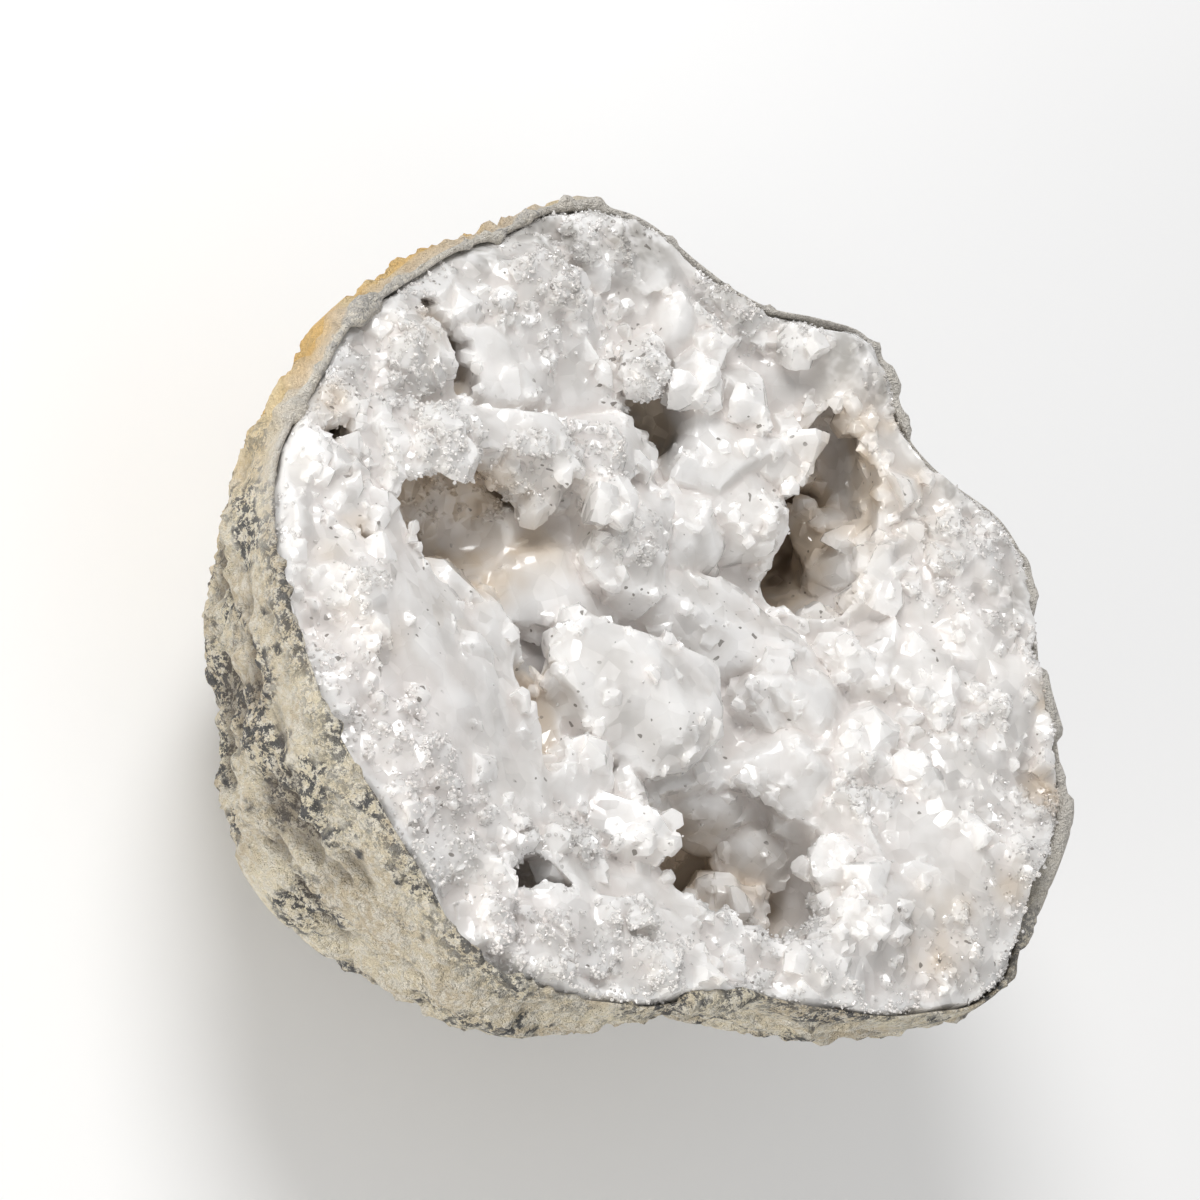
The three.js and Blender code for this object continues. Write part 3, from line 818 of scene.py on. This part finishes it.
def make_sugar(field, crust):
    """Two pieces of sugary crystals, densest on crests and on druse."""
    mesh = crust.data
    points, normals = vertex_array(mesh), normal_array(mesh)
    use = open_places(field, points, normals, 0.1) & (points[:, 2] < CRYSTAL_LIMIT - 0.2)
    points, normals = points[use], normals[use]
    drift = point_noise(points, 5) + 0.6 * point_noise(points, 2)
    crest = smooth_step(0.02, 0.25, -mesh_recess(mesh)[use])
    druse = sugared(points[:, 0], points[:, 1])
    chance = (0.015 + druse) * smooth_step(-0.9, 1.0, drift) * (0.25 + crest)
    return [sugar_piece(f"sugar_crystals_{k}", points, normals, chance) for k in (1, 2)]


def rind_grid(walls):
    """Rows of points over the rind: up the outside, over the rim and down the inside."""
    outer, inner = walls["outer"], walls["inner"]
    angles = np.linspace(0, 2 * math.pi, RIND_ANGLES, endpoint=False)
    wall_angles = np.append(walls["angles"], 2 * math.pi)
    top = np.interp(angles, wall_angles, np.append(walls["top"], walls["top"][0]))
    bareness = round_share(angles, BARE_ANGLE, BARE_REACH)
    paleness = np.maximum(bareness, 0.75 * round_share(angles, PALE_ANGLE, PALE_REACH))
    chips = 0.75 + 0.25 * np.sin(7 * angles + 1) * np.sin(11 * angles)
    top = top - RIM_DROP - BARE_DROP * bareness * chips
    rise = top - (CURVE_START + FOOT_HEIGHT)
    rows, kinds = [], []

    def add_row(kind, radius, height):
        rows.append((radius, height))
        kinds.append(kind)

    level = np.ones_like(angles)
    base = looked_up(*outer, angles, FOOT_HEIGHT * level)
    for share in (0.05, 0.35, 0.7, 0.95):
        add_row(BASE, share * base, 0 * level)
    for s in np.linspace(0, 1, OUTER_ROWS):
        height = FOOT_HEIGHT + rise * (0.35 * s * s + 0.65 * s)
        add_row(OUTSIDE, looked_up(*outer, angles, height), height)
    curve = top - CURVE_START
    edge, inside = looked_up(*outer, angles, curve), looked_up(*inner, angles, curve)
    for s in np.linspace(0.08, 0.92, RIM_ROWS):
        crown = curve + 0.6 * math.sin(math.pi * s) ** 0.3
        add_row(RIM, edge * (1 - s) + inside * s, crown)
    for s in np.linspace(0, 1, INNER_ROWS):
        height = rise * (1 - s) + HOLLOW_FLOOR * s
        add_row(INSIDE, looked_up(*inner, angles, height), height)
    floor = HOLLOW_FLOOR * level
    for share in (0.6, 0.05):
        add_row(FLOOR, share * looked_up(*inner, angles, floor), floor - 1.2 * (1 - share))
    radius, height = np.stack(rows, 1)
    points = np.stack([radius * np.cos(angles), radius * np.sin(angles), height], 2)
    return points, np.array(kinds), top, paleness


def grid_faces(rows, columns):
    """Triangles of a closed tube of rows, with a fan at each end."""
    i, j = np.meshgrid(np.arange(rows - 1), np.arange(columns), indexing="ij")
    n = (j + 1) % columns
    here, above = i * columns, (i + 1) * columns
    quads = np.stack([here + j, here + n, above + n, above + j], 2).reshape(-1, 4)
    first, last = rows * columns, rows * columns + 1
    j, n = j[0], n[0]
    end = (rows - 1) * columns
    start_fan = np.stack([np.full(columns, first), n, j], 1)
    end_fan = np.stack([np.full(columns, last), end + j, end + n], 1)
    return np.concatenate([quads[:, [0, 1, 2]], quads[:, [0, 2, 3]], start_fan, end_fan])


def rock_relief(points):
    """Height of the weathered stone's bumps, pits and small ledges."""
    large = 0.75 * point_noise(points, 7) + 0.5 * point_noise(points, 3.4)
    ledges = 0.9 * np.abs(point_noise(points * np.array([1, 1, 1.8]), 4))
    crumbs = 0.42 * np.abs(point_noise(points, 1.5)) + 0.22 * point_noise(points, 0.8)
    pits = smooth_step(1.0, 1.9, point_noise(points, 2)) * 0.8
    return np.minimum(large + crumbs - ledges - pits, RELIEF_LIMIT)


def room_behind(walls, points, normals):
    """How far the outside can sink and still leave the rind its least thickness."""
    angle, radius = polar(points[:, :, 0], points[:, :, 1])
    inner = looked_up(*walls["inner"], angle, points[:, :, 2])
    outward = normals[:, :, 0] * np.cos(angle) + normals[:, :, 1] * np.sin(angle)
    room = (radius - inner - LEAST_THICKNESS) * np.clip(outward, 0, 1)
    return np.where(points[:, :, 2] > WALL_START, np.maximum(room, 0), ROOM_BELOW)


def make_rind(walls):
    """The rind as one closed mesh, with relief on its outside and rim."""
    points, kinds, top, paleness = rind_grid(walls)
    rows, columns = points.shape[:2]
    height = points[:, :, 2]
    across = np.roll(points, -1, 1) - np.roll(points, 1, 1)
    along = np.gradient(points, axis=0)
    normals = np.cross(across, along)
    normals /= np.linalg.norm(normals, axis=2)[:, :, None] + 1e-9
    bare = np.isin(kinds, (OUTSIDE, RIM))[:, None] * smooth_step(0.3, 3.0, height)
    relief = rock_relief(points.reshape(-1, 3)).reshape(rows, columns)
    thin = smooth_step(top - 7, top - 3.5, height)
    relief += (np.clip(relief, -0.2, 0.8) - relief) * thin
    relief = np.maximum(relief, -room_behind(walls, points, normals)) * bare
    moved = points + normals * relief[:, :, None]
    moved[:, :, 2] = np.maximum(moved[:, :, 2], 0)
    fan_middles = [[0, 0, 0], [0, 0, height[-1].mean()]]
    vertices = np.concatenate([moved.reshape(-1, 3), fan_middles])
    piece = new_object("stone_rind", vertices, grid_faces(rows, columns))
    edge = smooth_step(top - 4, top, height)
    angle = np.arctan2(moved[:, :, 1], moved[:, :, 0])
    ochre = np.zeros((rows, columns))
    for middle, reach, low in OCHRE_SKIN:
        share = round_share(angle, middle, reach, 0.6, 1.2)
        ochre = np.maximum(ochre, share * smooth_step(low - 3, low + 3, moved[:, :, 2]))
    ochre *= (kinds == OUTSIDE)[:, None]
    # relief also sets the painted shade in the rind's pits
    marks = {"edge": edge * (1 - paleness), "pale": edge * paleness, "relief": relief, "ochre": ochre}
    mark(piece.data, **{name: np.append(values, [0, 0]) for name, values in marks.items()})
    return piece


class Nodes:
    """A material under construction: adds nodes and joins their sockets."""

    def __init__(self, name):
        self.material = bpy.data.materials.new(name)
        self.material.use_nodes = True
        self.tree = self.material.node_tree
        self.tree.nodes.clear()
        self.place = self.add("TexCoord").outputs["Object"]

    def add(self, kind, *values, **inputs):
        """A node with its first sockets set in order and others set by their names."""
        made = self.tree.nodes.new("ShaderNode" + kind)
        for socket, value in zip(made.inputs, values):
            self.set(socket, value)
        for key, value in inputs.items():
            self.set(made.inputs[key.replace("_", " ")], value)
        return made

    def set(self, socket, value):
        if isinstance(value, bpy.types.NodeSocket):
            self.tree.links.new(value, socket)
        else:
            socket.default_value = value

    def noise(self, scale, detail, roughness=0.55):
        """Cloudy noise. The scale counts its bumps in a metre."""
        settings = {"Scale": scale, "Detail": detail, "Roughness": roughness}
        return self.add("TexNoise", Vector=self.place, **settings).outputs["Fac"]

    def ramp(self, factor, low, high, start=0.0, end=1.0):
        """A smooth change from start to end while a factor goes from low to high."""
        made = self.add("MapRange", factor, low, high, start, end)
        made.interpolation_type = "SMOOTHSTEP"
        return made.outputs["Result"]

    def math(self, operation, a, b):
        made = self.add("Math", a, b)
        made.operation = operation
        return made.outputs[0]

    def times(self, a, b):
        return self.math("MULTIPLY", a, b)

    def mix(self, factor, a, b):
        """One colour fading into another. Each is a socket or a name in COLOURS."""
        made = self.add("Mix")
        made.data_type = "RGBA"
        self.set(made.inputs["Factor"], factor)
        for key, value in (("A", a), ("B", b)):
            socket = [i for i in made.inputs if i.name == key and i.type == "RGBA"][0]
            self.set(socket, (*COLOURS[value], 1) if isinstance(value, str) else value)
        return [o for o in made.outputs if o.type == "RGBA"][0]

    def attribute(self, name):
        made = self.add("Attribute")
        made.attribute_name = name
        return made.outputs["Fac"]

    def vector(self, operation, a, b, output="Vector"):
        made = self.add("VectorMath", a, b)
        made.operation = operation
        return made.outputs[output]

    def facets(self, scale):
        """A height that slopes its own way in each cell, as small flat crystal faces do."""
        made = self.add("TexVoronoi", Vector=self.place, Scale=scale)
        offset = self.vector("SUBTRACT", self.place, made.outputs["Position"])
        lean = self.vector("SUBTRACT", made.outputs["Color"], (0.5, 0.5, 0.5))
        return self.vector("DOT_PRODUCT", offset, lean, "Value")

    def bump(self, height, strength, distance):
        made = self.add("Bump", Height=height, Strength=strength, Distance=distance)
        return made.outputs["Normal"]

    def surface(self, **inputs):
        shader = self.add("BsdfPrincipled", **inputs)
        shader.subsurface_method = "BURLEY"
        self.add("OutputMaterial", shader.outputs["BSDF"])
        return self.material


def quartz_colour(n, light, shade):
    """Cloudy quartz: whiter on its crests as a painted highlight, darker in its recesses as painted
    shade, tan to brown where it is stained.
    """
    cloud = n.ramp(n.noise(260, 2, 0.65), 0.38, 0.62)
    colour = n.mix(cloud, shade, light)
    blush = n.ramp(n.noise(60, 2), 0.5, 0.75, 0.0, 0.4)
    colour = n.mix(blush, colour, "blush")
    recess = n.attribute("recess")
    # Painted highlight: crests, which stand above the smoothed surface, turn whiter
    colour = n.mix(n.ramp(recess, -0.02, -0.22, 0.0, 0.7), colour, "crest")
    # Painted shade: recesses, which lie below the smoothed surface, turn darker grey
    colour = n.mix(n.ramp(recess, 0.02, 0.3, 0.0, 0.6), colour, "recess")
    grime = n.times(n.attribute("grime"), n.ramp(n.noise(420, 2, 0.7), 0.38, 0.6))
    colour = n.mix(n.times(grime, 0.8), colour, "grime")
    stain = n.times(n.attribute("stain"), n.ramp(n.noise(220, 2), 0.3, 0.65, 0.5, 1.5))
    colour = n.mix(n.ramp(stain, 0.0, 0.55), colour, "tan")
    return n.mix(n.ramp(stain, 0.5, 1.0), colour, "brown")


def quartz_material():
    n = Nodes("milky_quartz")
    colour = quartz_colour(n, "quartz_light", "quartz_shade")
    specks = n.times(n.ramp(n.noise(1500, 0), 0.76, 0.8), n.ramp(n.noise(150, 1), 0.5, 0.6))
    colour = n.mix(n.times(specks, 0.8), colour, "speck")
    sugary = n.ramp(n.attribute("sugary"), 0.0, 1.0, 0.45, 0.8)
    faces = n.bump(n.facets(620), sugary, 1.0)
    return n.surface(
        Base_Color=colour, Roughness=0.45, IOR=QUARTZ_IOR, Normal=faces,
        Subsurface_Weight=0.7, Subsurface_Radius=SCATTER, Subsurface_Scale=0.0018,
        Coat_Weight=1.0, Coat_Roughness=0.14, Coat_IOR=QUARTZ_IOR, Coat_Normal=faces,
    )


def sugar_material():
    n = Nodes("sugary_quartz")
    return n.surface(
        Base_Color=quartz_colour(n, "sugar_light", "sugar_shade"),
        Roughness=0.12, IOR=QUARTZ_IOR,
        Subsurface_Weight=0.4, Subsurface_Radius=SCATTER, Subsurface_Scale=0.0008,
    )


def rind_material():
    """Cream and tan stone with an ochre skin, dark specks, painted shade in its pits and a pale edge.
    """
    n = Nodes("weathered_rind")
    patches = n.ramp(n.noise(110, 4), 0.4, 0.62)
    colour = n.mix(patches, "cream", "stone_tan")
    grains = n.ramp(n.noise(1000, 4, 0.75), 0.42, 0.6)
    colour = n.mix(n.times(grains, 0.7), colour, "grain")
    ochre = n.times(n.attribute("ochre"), n.ramp(n.noise(70, 3), 0.2, 0.45))
    colour = n.mix(ochre, colour, n.mix(patches, "ochre", "ochre_pale"))
    dark_zone = n.ramp(n.noise(130, 4, 0.65), 0.46, 0.57)
    edge = n.times(n.attribute("edge"), n.ramp(n.noise(140, 3), 0.38, 0.55))
    dark_zone = n.math("MAXIMUM", dark_zone, n.times(edge, 0.9))
    dark_zone = n.times(dark_zone, n.math("SUBTRACT", 1.0, n.times(ochre, 0.85)))
    speckle = n.times(n.ramp(n.noise(1150, 4, 0.8), 0.46, 0.54), dark_zone)
    colour = n.mix(n.times(speckle, 0.92), colour, "stone_speck")
    # Painted shade: the deepest pits of the relief turn dark
    pits = n.ramp(n.attribute("relief"), -0.2, -1.1, 0.0, 0.65)
    colour = n.mix(pits, colour, "pit")
    colour = n.mix(n.times(n.attribute("pale"), 0.85), colour, "pale_edge")
    coarse = n.bump(n.noise(420, 5, 0.75), 1.0, 0.0034)
    return n.surface(Base_Color=colour, Roughness=0.88, IOR=1.5, Normal=coarse)


def add_light(name, place, size, power, colour=(1, 1, 1)):
    """A round area light that aims at the middle of the stone."""
    data = bpy.data.lights.new(name, "AREA")
    data.shape = "DISK"
    data.size = size
    data.energy = power
    data.color = colour
    light = linked(name, data)
    light.location = place
    light.rotation_euler = (Vector(LIGHT_AIM) - Vector(place)).to_track_quat("-Z", "Y").to_euler()


def view_axes():
    """The camera's right, up and backward directions."""
    cos_side, sin_side = math.cos(VIEW_SIDE), math.sin(VIEW_SIDE)
    cos_tilt, sin_tilt = math.cos(VIEW_TILT), math.sin(VIEW_TILT)
    a, b = Vector((cos_side, sin_side, 0)), Vector((-sin_side, cos_side, 0))
    up = Vector((0, 0, 1))
    lean = cos_tilt * a + sin_tilt * up
    back = -sin_tilt * a + cos_tilt * up
    return cos_side * lean - sin_side * b, sin_side * lean + cos_side * b, back


def make_camera():
    right, top, back = view_axes()
    target = Vector((-MIDDLE[0], -MIDDLE[1], RIM_HEIGHT)) * MM
    pixel = SENSOR / LENS * VIEW_DISTANCE / FRAME_SIZE
    shift_x, shift_y = AIM_PIXEL[0] - FRAME_SIZE / 2, FRAME_SIZE / 2 - AIM_PIXEL[1]
    place = target + back * VIEW_DISTANCE - right * shift_x * pixel - top * shift_y * pixel
    data = bpy.data.cameras.new("camera")
    data.lens = LENS
    data.sensor_width = SENSOR
    data.clip_start = 0.01
    camera = linked("camera", data)
    turn = Matrix((right, top, back)).transposed().to_4x4()
    camera.matrix_world = Matrix.Translation(place) @ turn
    bpy.context.scene.camera = camera


def make_floor():
    corners = FLOOR_SIDE * np.array([[-1, -1, 0], [1, -1, 0], [1, 1, 0], [-1, 1, 0]]) / MM
    floor = new_object("floor", corners + AXIS_SHIFT, np.array([[0, 1, 2, 3]]))
    pale = {"Base_Color": (0.93, 0.93, 0.93, 1), "Roughness": 0.8}
    glow = {"Emission_Color": (1, 1, 1, 1), "Emission_Strength": 0.05}
    floor.data.materials.append(Nodes("pale_floor").surface(**pale, **glow))


def make_light():
    scene = bpy.context.scene
    scene.world = bpy.data.worlds.new("studio")
    scene.world.use_nodes = True
    background = scene.world.node_tree.nodes["Background"]
    background.inputs["Color"].default_value = (1, 1, 1, 1)
    background.inputs["Strength"].default_value = 0.43
    add_light("key", (-0.16, 0.30, 0.40), 0.24, 1.65)
    add_light("fill", (0.05, -0.35, 0.35), 0.35, 0.25)
    add_light("side", (-0.45, -0.24, 0.12), 0.25, 1.25, (1.0, 0.97, 0.91))
    scene.view_settings.view_transform = "Standard"
    scene.view_settings.exposure = 0.0
    scene.cycles.use_denoising = True


def main():
    walls = cast_walls()
    field = grown_field(walls)
    crust = make_crust(field, walls["tree"])
    sugar = make_sugar(field, crust)
    mesh = crust.data
    places = vertex_array(mesh)
    # The recess mark drives the quartz's painted highlight on crests and painted shade in its recesses
    mark(mesh, stain=stain_at(places), grime=grime_at(places), recess=mesh_recess(mesh))
    mark(mesh, sugary=sugared(places[:, 0], places[:, 1]))
    mesh.materials.append(quartz_material())
    sugary = sugar_material()
    for piece in sugar:
        piece.data.materials.append(sugary)
    for piece in [crust, *sugar]:
        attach(piece, "root")
    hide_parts("crystal_crust")

    rind = make_rind(walls)
    rind.data.materials.append(rind_material())
    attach(rind, "root")
    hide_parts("rind")

    make_floor()
    make_light()
    make_camera()


main()
